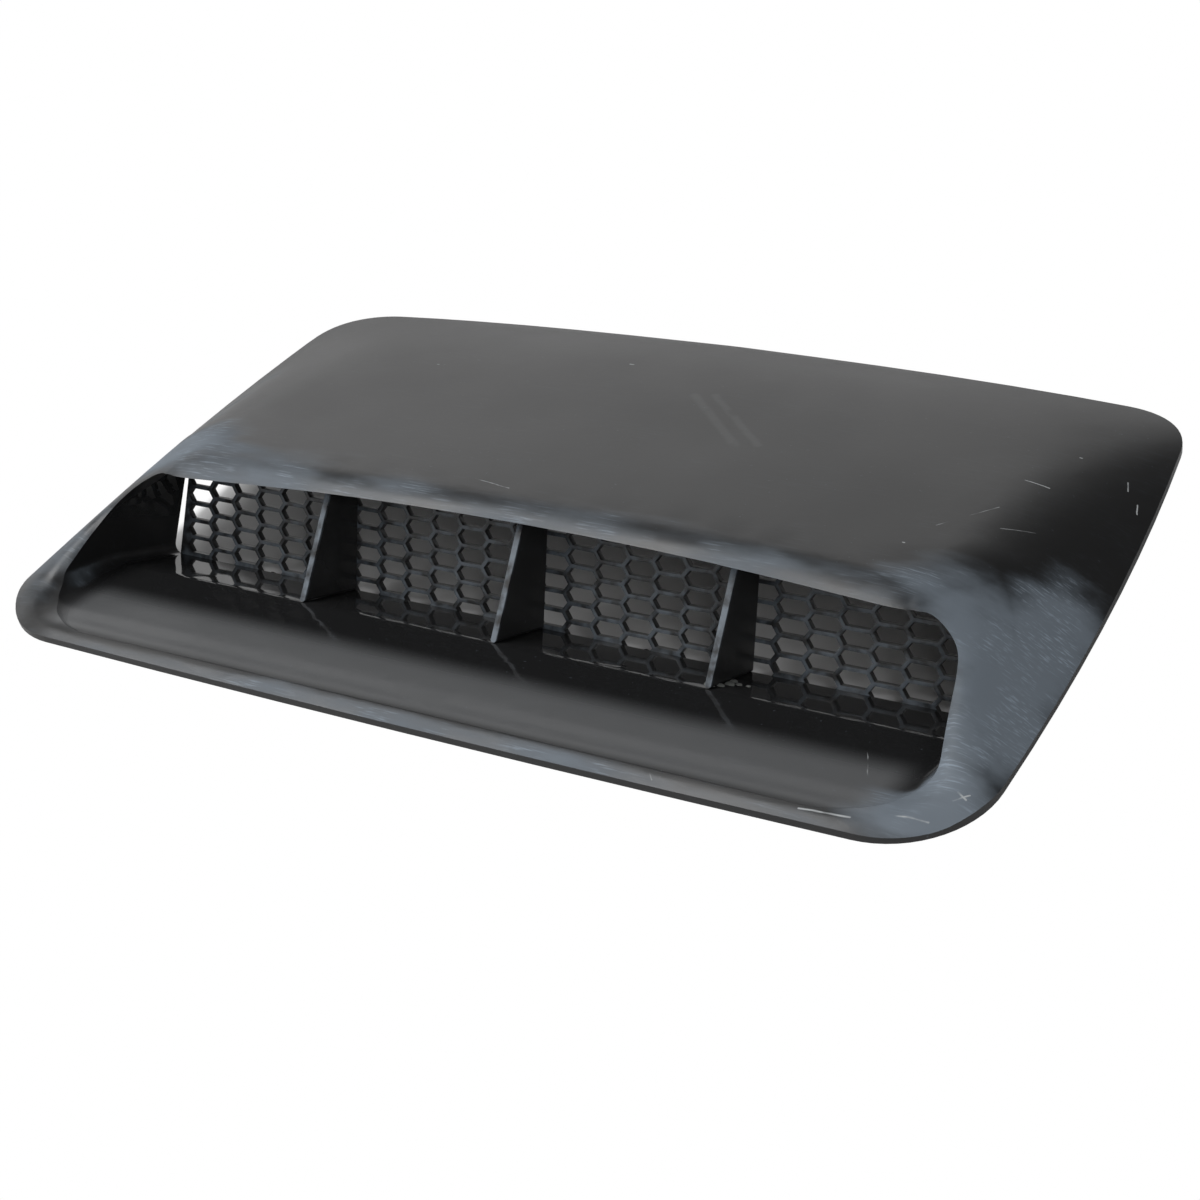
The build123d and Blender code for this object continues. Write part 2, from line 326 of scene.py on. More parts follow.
@dataclass
class WearGroups:
    """Node groups for rubbing, marks and painted highlights, each built once and shared by the materials.

    Args:
        trees: Groups that have been built, by name.
        core_share: Share of a patch that is fully pale.
        scratch_core: Share of a scratch's width that is fully pale.
        line_step: Noise levels between which fine scratches appear.
        place_scale: Bare places in a metre.
        place_step: Noise levels between which the bare places end.
        wave_scale: Waves of the surface in a metre.
        grain_scale: Grains of the surface in a metre.
        grain_share: Height of a grain in waves.
        cloud_scale: Duller clouds in a metre.
        dust_scale: Specks in a metre.
        dust_step: Noise levels between which a speck appears.
    """

    trees: dict[str, bpy.types.NodeTree] = field(default_factory=dict)
    core_share: float = 0.15
    scratch_core: float = 0.2
    line_step: Step = (0.5, 0.72)
    place_scale: float = 28.0
    place_step: Step = (0.42, 0.62)
    wave_scale: float = 160.0
    grain_scale: float = 900.0
    grain_share: float = 0.3
    cloud_scale: float = 9.0
    dust_scale: float = 420.0
    dust_step: Step = (0.74, 0.8)

    def new(
        self, name: str, inputs: dict[str, str], outputs: tuple[str, ...]
    ) -> tuple[Graph, bpy.types.Node, bpy.types.Node]:
        """Starts a group.

        Args:
            name: Name of the group.
            inputs: Socket kind of each input by name.
            outputs: Names of the outputs, which are numbers.

        Returns:
            The group's graph, its input node and its output node.
        """
        tree = bpy.data.node_groups.new(name, "ShaderNodeTree")
        for label, kind in inputs.items():
            tree.interface.new_socket(label, in_out="INPUT", socket_type=f"NodeSocket{kind}")
        for label in outputs:
            tree.interface.new_socket(label, in_out="OUTPUT", socket_type="NodeSocketFloat")
        self.trees[name] = tree
        graph = Graph(tree)
        return graph, graph.node("NodeGroupInput"), graph.node("NodeGroupOutput")

    def pale_patch(self) -> bpy.types.NodeTree:
        """Gives the group for one soft patch, 1 in its middle and 0 at its reach."""
        if "pale_patch" not in self.trees:
            inputs = {"Position": "Vector", "Centre": "Vector", "Reach": "Vector"}
            graph, given, out = self.new("pale_patch", inputs, ("Mask",))
            offset = graph.vector("SUBTRACT", given.outputs["Position"], given.outputs["Centre"])
            share = graph.vector("DIVIDE", offset.outputs["Vector"], given.outputs["Reach"])
            distance = graph.vector("LENGTH", share.outputs["Vector"])
            worn_and_highlight = graph.ramp(distance.outputs["Value"], self.core_share, 1.0, 1.0, 0.0)
            graph.feed(out.inputs["Mask"], worn_and_highlight)
        return self.trees["pale_patch"]

    def scratch(self) -> bpy.types.NodeTree:
        """Gives the group for one straight mark from a start to an end."""
        if "scratch" not in self.trees:
            inputs = {"Position": "Vector", "Start": "Vector", "End": "Vector", "Width": "Float"}
            graph, given, out = self.new("scratch", inputs, ("Mask",))
            along = graph.vector("SUBTRACT", given.outputs["End"], given.outputs["Start"]).outputs["Vector"]
            start = given.outputs["Start"]
            offset = graph.vector("SUBTRACT", given.outputs["Position"], start).outputs["Vector"]
            reach = graph.vector("DOT_PRODUCT", along, along).outputs["Value"]
            passed = graph.vector("DOT_PRODUCT", offset, along).outputs["Value"]
            share = graph.math("DIVIDE", passed, reach, clamp=True)
            across = graph.vector("SUBTRACT", offset, graph.scaled(along, share)).outputs["Vector"]
            distance = graph.vector("LENGTH", across).outputs["Value"]
            inner = graph.math("MULTIPLY", given.outputs["Width"], self.scratch_core)
            graph.feed(out.inputs["Mask"], graph.ramp(distance, inner, given.outputs["Width"], 1.0, 0.0))
        return self.trees["scratch"]

    def brushed(self) -> bpy.types.NodeTree:
        """Gives the group for many fine scratches that run one way, with bare places between them."""
        if "brushed" not in self.trees:
            graph, given, out = self.new("brushed", {"Position": "Vector", "Stretch": "Vector"}, ("Mask",))
            position = given.outputs["Position"]
            stretched = graph.vector("MULTIPLY", position, given.outputs["Stretch"]).outputs["Vector"]
            lines = graph.ramp(graph.noise(stretched, 1.0, 3.0), *self.line_step)
            places = graph.ramp(graph.noise(position, self.place_scale, 3.0), *self.place_step)
            graph.feed(out.inputs["Mask"], graph.math("MULTIPLY", lines, places))
        return self.trees["brushed"]

    def orange_peel(self) -> bpy.types.NodeTree:
        """Gives the group for the faint waviness and dust of an old moulding."""
        if "orange_peel" not in self.trees:
            graph, given, out = self.new("orange_peel", {"Position": "Vector"}, ("Height", "Cloud", "Dust"))
            position = given.outputs["Position"]
            fine = graph.math("MULTIPLY", graph.noise(position, self.grain_scale), self.grain_share)
            waves = graph.noise(position, self.wave_scale)
            graph.feed(out.inputs["Height"], graph.math("ADD", waves, fine))
            graph.feed(out.inputs["Cloud"], graph.noise(position, self.cloud_scale, 4.0))
            specks = graph.noise(position, self.dust_scale, 1.0)
            graph.feed(out.inputs["Dust"], graph.ramp(specks, *self.dust_step))
        return self.trees["orange_peel"]


@dataclass(frozen=True)
class Finish:
    """Plain look of a black moulding before its rubbing and painted highlights.

    Args:
        name: Name of the material.
        black: Colour of the plastic.
        worn_and_highlight: Pale colour where it is rubbed dull, also used for painted highlights.
        roughness: Roughness of the clean surface.
        gloss: Reflection level of the surface.
    """

    name: str
    black: Colour = (0.0145, 0.0147, 0.0152, 1.0)
    worn_and_highlight: Colour = (0.25, 0.30, 0.355, 1.0)
    roughness: float = 0.3
    gloss: float = 0.5

    def start(self) -> tuple[bpy.types.Material, Graph, bpy.types.Node, bpy.types.NodeSocket]:
        """Makes the material with a Principled shader.

        Returns:
            The material, its graph, its shader and the place on the object.
        """
        material = bpy.data.materials.new(self.name)
        material.use_nodes = True
        graph = Graph(material.node_tree)
        shader = material.node_tree.nodes["Principled BSDF"]
        shader.inputs["Specular IOR Level"].default_value = self.gloss
        position = graph.node("ShaderNodeTexCoord").outputs["Object"]
        return material, graph, shader, position


@dataclass(frozen=True)
class MouthRegion:
    """Where the inside of the mouth and its apron lie, used to tell them from the outer skin.

    Args:
        duct_half: Half of the mouth's width.
        side_blend: Width of the soft border at the mouth's sides.
        frame_line: Y and Z of a point on the raked frame, and the frame's slope.
        frame_blend: Soft border below the frame.
        roof_underside: Height of the duct's roof.
        corner_span: Distances from the middle between which the roof's border comes down.
        corner_height: Height of that border beside the corners.
        roof_blend: Soft border under the roof.
        rear_end: Soft border at the duct's rear end.
        gloss_border: Soft border between the satin apron and the glossy floor.
        apron_front: Soft border at the apron's front.
        apron_top: Soft border at the apron's top.
        apron_side_blend: Width of the soft border at the apron's sides.
    """

    duct_half: float = 0.283
    side_blend: float = 0.004
    frame_line: Point = (-0.161, 0.0114, 0.47)
    frame_blend: Step = (0.004, 0.009)
    roof_underside: float = 0.0455
    corner_span: Step = (0.205, 0.240)
    corner_height: float = 0.029
    roof_blend: float = 0.001
    rear_end: Step = (-0.03, -0.02)
    gloss_border: Step = (-0.160, -0.136)
    apron_front: Step = (-0.200, -0.190)
    apron_top: Step = (0.010, 0.018)
    apron_side_blend: float = 0.02

    def inside(self, graph: Graph, position: Mask) -> Mask:
        """Finds the inside of the mouth.

        Args:
            graph: Graph of the material.
            position: Place on the object.

        Returns:
            A mask that is 1 inside the mouth.
        """
        x, y, z = graph.parts(position)
        foot_y, foot_z, slope = self.frame_line
        rise = graph.math("MULTIPLY", graph.math("SUBTRACT", y, foot_y), slope)
        below = graph.math("SUBTRACT", graph.math("ADD", rise, foot_z), z)
        under_frame = graph.ramp(below, *self.frame_blend)
        aside = graph.math("ABSOLUTE", x)
        ceiling = graph.ramp(aside, *self.corner_span, self.roof_underside, self.corner_height)
        under_roof = graph.ramp(graph.math("SUBTRACT", ceiling, z), 0.0, self.roof_blend)
        within = graph.ramp(aside, self.duct_half, self.duct_half + self.side_blend, 1.0, 0.0)
        before = graph.ramp(y, *self.rear_end, 1.0, 0.0)
        return graph.product(under_frame, under_roof, within, before)

    def glossy(self, graph: Graph, position: Mask) -> Mask:
        """Finds everything behind the border of the glossy floor.

        Args:
            graph: Graph of the material.
            position: Place on the object.

        Returns:
            A mask that is 1 behind the border.
        """
        return graph.ramp(graph.parts(position)[1], *self.gloss_border)

    def apron(self, graph: Graph, position: Mask) -> Mask:
        """Finds the satin apron in front of the glossy floor, which is tinted with a painted reflection of
        the bright surroundings.

        Args:
            graph: Graph of the material.
            position: Place on the object.

        Returns:
            A mask that is 1 on the apron.
        """
        x, y, z = graph.parts(position)
        behind = graph.ramp(y, *self.apron_front)
        satin = graph.math("SUBTRACT", 1.0, self.glossy(graph, position))
        low = graph.ramp(z, *self.apron_top, 1.0, 0.0)
        side = self.duct_half - self.apron_side_blend
        within = graph.ramp(graph.math("ABSOLUTE", x), side, self.duct_half, 1.0, 0.0)
        return graph.product(behind, satin, low, within)


@dataclass(frozen=True)
class ShellFinish:
    """Outer moulding: satin outside, glossy in the duct, dull, pale and scratched where it has been rubbed,
    with painted highlights mixed into the rubbed places along the nose and lip and a painted reflection of
    the bright surroundings on the apron.

    Args:
        finish: Plain look.
        patches: Pale places, rubbed dullness and, along the nose and lip, painted highlights.
        marks: Single marks.
        mouth: Where the inside of the mouth lies.
        duct_roughness: Roughness of the glossy floor and walls.
        apron_roughness: Roughness of the satin apron.
        apron_reflection_share: Share of the painted reflection on the apron.
        apron_reflection_colour: Pale grey of the painted reflection of the bright surroundings on the
            apron.
        upward_step: How far a face must look up for the pale places to show.
        smear: How finely the pale places are broken up along X, Y and Z.
        smear_strength: How strongly it is broken up.
        smear_start: Haze levels between which the breaking up starts.
        haze_step: Levels between which the pale places show.
        wander_scale: Bends of a scratch in a metre.
        wander: How far a scratch bends.
        gap_scale: Gaps of a scratch in a metre.
        gap_step: Noise levels between which a gap ends.
        brush: How finely the brushed lines are spaced along X, Y and Z.
        brush_everywhere: Level of the brushed lines on clean plastic.
        brush_step: Haze levels between which the brushed lines grow.
        dust_share: Paleness of a speck.
        haze_and_highlight_share: Paleness of the pale places, rubbed dullness and painted highlights
            together.
        brush_share: Paleness of a brushed line.
        scratch_colour: Colour of a scratch.
        cloud_share: How much the roughness varies in clouds.
        dull_end: Haze level where the surface is fully dull.
        dull_rise: Roughness that full haze adds.
        relief: Strength and height of the fine relief.
        scratch_depth: Depth of a scratch in waves.
    """

    finish: Finish
    patches: tuple[PalePatch, ...]
    marks: tuple[Mark, ...]
    mouth: MouthRegion = MouthRegion()
    duct_roughness: float = 0.06
    apron_roughness: float = 0.3
    apron_reflection_share: float = 0.4
    apron_reflection_colour: Colour = (0.25, 0.258, 0.265, 1.0)
    upward_step: Step = (0.02, 0.3)
    smear: Point = (14.0, 44.0, 44.0)
    smear_strength: float = 1.2
    smear_start: Step = (0.0, 0.2)
    haze_step: Step = (0.12, 0.95)
    wander_scale: float = 60.0
    wander: float = 0.0022
    gap_scale: float = 70.0
    gap_step: Step = (0.32, 0.5)
    brush: Point = (60.0, 900.0, 260.0)
    brush_everywhere: float = 0.08
    brush_step: Step = (0.02, 0.5)
    dust_share: float = 0.12
    haze_and_highlight_share: float = 0.55
    brush_share: float = 0.4
    scratch_colour: Colour = (0.42, 0.44, 0.45, 1.0)
    cloud_share: float = 0.12
    dull_end: float = 0.9
    dull_rise: float = 0.32
    relief: Step = (0.06, 0.0004)
    scratch_depth: float = 1.5

    def haze_and_highlight(self, graph: Graph, position: Mask, groups: WearGroups) -> Mask:
        """Adds the pale places together, rubbed dullness and painted highlights, breaks up their edges and
        keeps them to faces that look up.

        Args:
            graph: Graph of the material.
            position: Place on the object.
            groups: Shared node groups.

        Returns:
            A mask of the pale places.
        """
        total: object = 0.0
        for patch in self.patches:
            where = {"position": position, "centre": patch.centre, "reach": patch.reach}
            mask = graph.group(groups.pale_patch(), **where).outputs["Mask"]
            total = graph.math("MAXIMUM", total, graph.math("MULTIPLY", mask, patch.level.value))
        smeared = graph.vector("MULTIPLY", position, self.smear).outputs["Vector"]
        centred = graph.math("SUBTRACT", graph.noise(smeared, 1.0, 8.0), 0.5)
        broken = graph.product(centred, self.smear_strength, graph.ramp(total, *self.smear_start))
        shown = graph.ramp(graph.math("ADD", total, broken), *self.haze_step)
        normal = graph.node("ShaderNodeNewGeometry").outputs["Normal"]
        upward = graph.ramp(graph.parts(normal)[2], *self.upward_step)
        return graph.math("MULTIPLY", shown, upward)

    def scratches(self, graph: Graph, position: Mask, groups: WearGroups) -> Mask:
        """Adds the single marks together.

        Args:
            graph: Graph of the material.
            position: Place on the object.
            groups: Shared node groups.

        Returns:
            A mask of the marks.
        """
        noise = graph.node("ShaderNodeTexNoise")
        graph.feed(noise.inputs["Vector"], position)
        noise.inputs["Scale"].default_value = self.wander_scale
        centred = graph.vector("SUBTRACT", noise.outputs["Color"], (0.5, 0.5, 0.5)).outputs["Vector"]
        bent = graph.vector("ADD", position, graph.scaled(centred, self.wander)).outputs["Vector"]
        total: object = 0.0
        for mark in self.marks:
            where = {"position": bent, "start": mark.start, "end": mark.end, "width": mark.width}
            mask = graph.group(groups.scratch(), **where).outputs["Mask"]
            total = graph.math("MAXIMUM", total, graph.math("MULTIPLY", mask, mark.level.value))
        broken = graph.ramp(graph.noise(position, self.gap_scale, 3.0), *self.gap_step)
        return graph.math("MULTIPLY", total, broken)

    def build(self, groups: WearGroups) -> bpy.types.Material:
        """Builds the material.

        Args:
            groups: Shared node groups.

        Returns:
            The material.
        """
        material, graph, shader, position = self.finish.start()
        peel = graph.group(groups.orange_peel(), position=position)
        inside = self.mouth.inside(graph, position)
        outside = graph.math("SUBTRACT", 1.0, inside)
        haze_and_highlight = graph.math("MULTIPLY", self.haze_and_highlight(graph, position, groups), outside)
        scratches = self.scratches(graph, position, groups)

        brushed = graph.group(groups.brushed(), position=position, stretch=self.brush).outputs["Mask"]
        everywhere = graph.math("MULTIPLY", outside, self.brush_everywhere)
        rubbed = graph.math("MULTIPLY", brushed, graph.ramp(haze_and_highlight, *self.brush_step, everywhere))
        # Pale places: rubbed dullness, with a painted highlight along the nose and lip.
        pale_haze_and_highlight = graph.math("MULTIPLY", haze_and_highlight, self.haze_and_highlight_share)
        worn_and_highlight = graph.math("ADD", pale_haze_and_highlight, graph.math("MULTIPLY", rubbed, self.brush_share))
        dust = graph.math("MULTIPLY", peel.outputs["Dust"], self.dust_share)
        # Painted reflection: the apron is tinted pale grey as if it mirrored the bright surroundings.
        apron = graph.math("MULTIPLY", self.mouth.apron(graph, position), self.apron_reflection_share)
        colour = graph.mix(apron, self.finish.black, self.apron_reflection_colour)
        colour = graph.mix(graph.math("MAXIMUM", worn_and_highlight, dust), colour, self.finish.worn_and_highlight)
        graph.feed(shader.inputs["Base Color"], graph.mix(scratches, colour, self.scratch_colour))

        glossy = self.mouth.glossy(graph, position)
        duct = graph.ramp(glossy, 0.0, 1.0, self.apron_roughness, self.duct_roughness)
        clouds = graph.math("MULTIPLY", peel.outputs["Cloud"], self.cloud_share)
        clean = graph.math("ADD", clouds, self.finish.roughness - self.cloud_share / 2)
        dull = graph.ramp(graph.math("MAXIMUM", haze_and_highlight, scratches), 0.0, self.dull_end)
        dull = graph.math("MULTIPLY", dull, self.dull_rise)
        roughness = graph.math("ADD", graph.blend(inside, clean, duct), dull, clamp=True)
        graph.feed(shader.inputs["Roughness"], roughness)

        depth = graph.math("MULTIPLY", scratches, self.scratch_depth)
        graph.bump(shader, graph.math("SUBTRACT", peel.outputs["Height"], depth), *self.relief)
        return material


@dataclass(frozen=True)
class PlainMouldingFinish:
    """Smaller moulding: black plastic with a paler band along one slanted front plane, a painted highlight
    of the front edges broken into rubbed stretches.

    Args:
        finish: Plain look.
        front: A point on the front plane.
        facing: Direction in from the front plane.
        depth: How far in the paler band reaches.
        stretch_scale: Worn stretches in a metre.
        stretch_step: Noise levels between which a stretch ends.
        edge_wear_and_highlight_share: Paleness of the band, painted highlight and rubbing together.
        dust_share: Paleness of a speck.
        cloud_share: How much the roughness varies in clouds.
        dull_rise: Roughness that the paler band adds.
        relief: Strength and height of the fine relief.
    """

    finish: Finish
    front: Point
    facing: Point
    depth: float
    stretch_scale: float = 120.0
    stretch_step: Step = (0.3, 0.65)
    edge_wear_and_highlight_share: float = 0.55
    dust_share: float = 0.15
    cloud_share: float = 0.1
    dull_rise: float = 0.3
    relief: Step = (0.08, 0.0003)

    def build(self, groups: WearGroups) -> bpy.types.Material:
        """Builds the material.

        Args:
            groups: Shared node groups.

        Returns:
            The material.
        """
        material, graph, shader, position = self.finish.start()
        peel = graph.group(groups.orange_peel(), position=position)
        offset = graph.vector("SUBTRACT", position, self.front).outputs["Vector"]
        facing = tuple(Vector(self.facing).normalized())
        inward = graph.vector("DOT_PRODUCT", offset, facing).outputs["Value"]
        edge = graph.ramp(inward, 0.0, self.depth, 1.0, 0.0)
        patchy = graph.ramp(graph.noise(position, self.stretch_scale, 4.0), *self.stretch_step)
        # Painted highlight along the front edges, broken into rubbed stretches.
        edge_wear_and_highlight = graph.product(edge, patchy, self.edge_wear_and_highlight_share)
        dust = graph.math("MULTIPLY", peel.outputs["Dust"], self.dust_share)
        pale = graph.math("MAXIMUM", edge_wear_and_highlight, dust)
        graph.feed(shader.inputs["Base Color"], graph.mix(pale, self.finish.black, self.finish.worn_and_highlight))
        clouds = graph.math("MULTIPLY", peel.outputs["Cloud"], self.cloud_share)
        clean = graph.math("ADD", clouds, self.finish.roughness - self.cloud_share / 2)
        dull = graph.math("MULTIPLY", edge_wear_and_highlight, self.dull_rise)
        graph.feed(shader.inputs["Roughness"], graph.math("ADD", clean, dull, clamp=True))
        graph.bump(shader, peel.outputs["Height"], *self.relief)
        return material


@dataclass(frozen=True)
class GlueFinish:
    """Clear glue that has set in shiny drops.

    Args:
        thin: Colour where it is thin.
        thick: Colour where it is thick.
        roughness: Roughness of thin glue.
        rise: Roughness that thick glue adds.
        step: Noise levels between thin and thick glue.
    """

    thin: Colour = (0.05, 0.05, 0.05, 1.0)
    thick: Colour = (0.2, 0.21, 0.2, 1.0)
    roughness: float = 0.08
    rise: float = 0.1
    step: Step = (0.3, 0.7)

    def build(self, groups: WearGroups) -> bpy.types.Material:
        """Builds the material.

        Args:
            groups: Shared node groups.

        Returns:
            The material.
        """
        material, graph, shader, position = Finish("set_glue").start()
        peel = graph.group(groups.orange_peel(), position=position)
        share = graph.ramp(peel.outputs["Cloud"], *self.step)
        graph.feed(shader.inputs["Base Color"], graph.mix(share, self.thin, self.thick))
        rise = graph.math("MULTIPLY", share, self.rise)
        graph.feed(shader.inputs["Roughness"], graph.math("ADD", rise, self.roughness))
        return material


def deselect_all() -> None:
    """Leaves nothing selected."""
    if bpy.context.object and bpy.context.object.mode != "OBJECT":
        bpy.ops.object.mode_set(mode="OBJECT")
    bpy.ops.object.select_all(action="DESELECT")


def activate(piece: bpy.types.Object) -> None:
    """Makes one object the only selected and active one.

    Args:
        piece: The object.
    """
    deselect_all()
    piece.select_set(True)
    bpy.context.view_layer.objects.active = piece


def dress(piece: bpy.types.Object, material: bpy.types.Material) -> None:
    """Gives an object one material.

    Args:
        piece: The object.
        material: Its material.
    """
    piece.data.materials.clear()
    piece.data.materials.append(material)


@dataclass
class MeshGrille:
    """Hexagon grille, a copy of the CAD node whose web edges are softened.

    Args:
        node: CAD node that it stands for.
        soften: Width of the softened edge.
        segments: Faces across a softened edge.
        edge_angle: Angle from which an edge is softened.
        weld: Distance under which corners are joined.
        flat_angle: Angle under which faces are joined.
    """

    node: str = "mesh_grille"
    soften: float = 0.00045
    segments: int = 2
    edge_angle: float = math.radians(35)
    weld: float = 0.00001
    flat_angle: float = math.radians(1)

    def build(self, material: bpy.types.Material) -> bpy.types.Object:
        """Builds the grille.

        Args:
            material: Its material.

        Returns:
            The grille.
        """
        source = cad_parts[self.node]
        piece = bpy.data.objects.new("hexagon_grille", source.data.copy())
        bpy.context.scene.collection.objects.link(piece)
        activate(piece)
        bpy.ops.object.mode_set(mode="EDIT")
        bpy.ops.mesh.select_all(action="SELECT")
        bpy.ops.mesh.remove_doubles(threshold=self.weld)
        bpy.ops.mesh.dissolve_limited(angle_limit=self.flat_angle)
        bpy.ops.object.mode_set(mode="OBJECT")
        bevel = piece.modifiers.new("softened_edges", "BEVEL")
        bevel.width = self.soften
        bevel.segments = self.segments
        bevel.limit_method = "ANGLE"
        bevel.angle_limit = self.edge_angle
        bpy.ops.object.modifier_apply(modifier=bevel.name)
        bpy.ops.object.shade_smooth_by_angle(angle=self.edge_angle)
        dress(piece, material)
        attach(piece, "root")
        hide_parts(self.node)
        return piece


@dataclass
class GlueDrops:
    """Set glue squeezed out at the foot of the right fin.

    Args:
        places: X, Y, Z and radius of each drop.
        spread: How far a drop is drawn out along X, Y and Z.
        fineness: How often a drop's faces are divided.
    """

    places: tuple[tuple[float, float, float, float], ...] = (
        (0.1375, -0.1070, -0.0125, 0.0026),
        (0.1425, -0.1040, -0.0142, 0.0020),
        (0.1450, -0.0985, -0.0170, 0.0024),
        (0.1490, -0.0955, -0.0186, 0.0016),
        (0.1437, -0.0920, -0.0204, 0.0020),
        (0.1545, -0.0950, -0.0188, 0.0012),
    )
    spread: Point = (1.3, 1.0, 0.5)
    fineness: int = 3

    def build(self, material: bpy.types.Material) -> bpy.types.Object:
        """Builds the drops as one mesh.

        Args:
            material: Their material.

        Returns:
            The drops.
        """
        drops = []
        for x, y, z, radius in self.places:
            deselect_all()
            place = (x, y, z)
            bpy.ops.mesh.primitive_ico_sphere_add(subdivisions=self.fineness, radius=radius, location=place)
            drop = bpy.context.object
            bpy.ops.object.mode_set(mode="EDIT")
            bpy.ops.transform.resize(value=self.spread)
            bpy.ops.object.mode_set(mode="OBJECT")
            drops.append(drop)
        deselect_all()
        for drop in drops:
            drop.select_set(True)
        bpy.context.view_layer.objects.active = drops[0]
        bpy.ops.object.join()
        piece = bpy.context.object
        piece.name = "fin_glue"
        bpy.ops.object.transform_apply(location=True, rotation=True, scale=True)
        bpy.ops.object.shade_smooth()
        dress(piece, material)
        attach(piece, "root")
        return piece


@dataclass(frozen=True)
class Lamp:
    """A soft square lamp.

    Args:
        name: Name of the lamp.
        place: Where it hangs.
        target: Point that it faces.
        size: Width of the square.
        power: Power in watts.
    """

    name: str
    place: Point
    target: Point
    size: float
    power: float

    def build(self) -> None:
        """Adds the lamp."""
        data = bpy.data.lights.new(self.name, "AREA")
        data.size = self.size
        data.energy = self.power
        lamp = bpy.data.objects.new(self.name, data)
        facing = Vector(self.target) - Vector(self.place)
        turned = facing.to_track_quat("-Z", "Y").to_matrix().to_4x4()
        lamp.matrix_world = Matrix.Translation(Vector(self.place)) @ turned
        bpy.context.scene.collection.objects.link(lamp)


@dataclass(frozen=True)
class Studio:
    """Pale floor, bright surroundings, soft lamps and the camera.

    Args:
        camera_place: Where the camera stands.
        forward: Direction that it looks in.
        up: Direction of the picture's top.
        focal_px: Focal length in pixels of the picture.
        centre_px: Point of the picture that the camera faces.
        image_px: Width of the picture.
        sensor_mm: Width of the sensor.
        floor_gap: Distance from the duct's lowest edge to the floor.
        floor_size: Width of the floor.
        floor_colour: Colour of the floor.
        floor_roughness: Roughness of the floor.
        covered_centre: Middle, along X, of the floor that only shows through the grille.
        covered_x: Soft border of that floor along X.
        covered_y: Soft border of that floor along Y.
        room_edge: Directions, by X, between the room's bright left and dark right.
        room_left: Brightness of the left.
        room_right: Brightness of the right.
        upper_step: Directions, by Z, between the room's lower and upper part.
        upper_share: Share of the brightness that the upper part has.
        overhead: Direction of the bright spot overhead.
        overhead_step: How close a direction must be to it.
        overhead_extra: Brightness that it adds.
        lamps: The lamps.
    """

    camera_place: Point = (0.6230, -0.84215, 0.6780)
    forward: Point = (-0.4902, 0.6563, -0.5735)
    up: Point = (-0.1667, 0.5753, 0.8008)
    focal_px: float = 2044.18
    centre_px: tuple[float, float] = (594.55, 595.05)
    image_px: float = 1200.0
    sensor_mm: float = 36.0
    floor_gap: float = 0.0005
    floor_size: float = 30.0
    floor_colour: Colour = (0.62, 0.62, 0.62, 1.0)
    floor_roughness: float = 0.8
    covered_centre: float = -0.020
    covered_x: Step = (0.295, 0.305)
    covered_y: Step = (0.100, 0.120)
    room_edge: Step = (-0.30, 0.06)
    room_left: float = 0.92
    room_right: float = 0.06
    upper_step: Step = (0.38, 0.52)
    upper_share: float = 0.22
    overhead: Point = (-0.49, -0.07, 0.87)
    overhead_step: Step = (0.93, 0.995)
    overhead_extra: float = 0.9
    lamps: tuple[Lamp, ...] = (
        Lamp("key_lamp", (-1.2, -0.6, 2.2), (0.0, 0.0, 0.0), 1.6, 42.0),
        Lamp("side_lamp", (1.6, -1.4, 1.4), (0.1, 0.0, 0.0), 1.0, 20.0),
    )

    def camera(self) -> None:
        """Adds the camera at the photograph's viewing angle."""
        back = -Vector(self.forward).normalized()
        right = Vector(self.up).cross(back).normalized()
        up = back.cross(right)
        data = bpy.data.cameras.new("camera")
        data.sensor_width = self.sensor_mm
        data.sensor_fit = "HORIZONTAL"
        data.lens = self.focal_px / self.image_px * self.sensor_mm
        half = self.image_px / 2
        data.shift_x = (half - self.centre_px[0]) / self.image_px
        data.shift_y = (self.centre_px[1] - half) / self.image_px
        camera = bpy.data.objects.new("camera", data)
        turned = Matrix((right, up, back)).transposed().to_4x4()
        camera.matrix_world = Matrix.Translation(Vector(self.camera_place)) @ turned
        bpy.context.scene.collection.objects.link(camera)
        bpy.context.scene.camera = camera

    def floor(self) -> None:
        """Adds the pale floor under the lowest edge of the duct."""
        low = CAD_BOUNDS[0][2] - self.floor_gap
        deselect_all()
        bpy.ops.mesh.primitive_plane_add(size=self.floor_size, location=(0, 0, low))
        floor = bpy.context.object
        floor.name = "floor"
        material = bpy.data.materials.new("pale_floor")
        material.use_nodes = True
        graph = Graph(material.node_tree)
        shader = material.node_tree.nodes["Principled BSDF"]
        shader.inputs["Base Color"].default_value = self.floor_colour
        shader.inputs["Roughness"].default_value = self.floor_roughness
        glow = graph.node("ShaderNodeEmission")
        glow.inputs["Color"].default_value = WHITE
        path = graph.node("ShaderNodeLightPath")
        blend = graph.node("ShaderNodeMixShader")
        x, y, _ = graph.parts(graph.node("ShaderNodeTexCoord").outputs["Object"])
        off_centre = graph.math("SUBTRACT", x, self.covered_centre)
        beside = graph.ramp(graph.math("ABSOLUTE", off_centre), *self.covered_x)
        beyond = graph.ramp(graph.math("ABSOLUTE", y), *self.covered_y)
        clear = graph.math("MAXIMUM", beside, beyond)
        graph.feed(blend.inputs[0], graph.math("MULTIPLY", path.outputs["Is Camera Ray"], clear))
        graph.feed(blend.inputs[1], shader.outputs[0])
        graph.feed(blend.inputs[2], glow.outputs[0])
        output = material.node_tree.nodes["Material Output"]
        graph.feed(output.inputs["Surface"], blend.outputs[0])
        dress(floor, material)

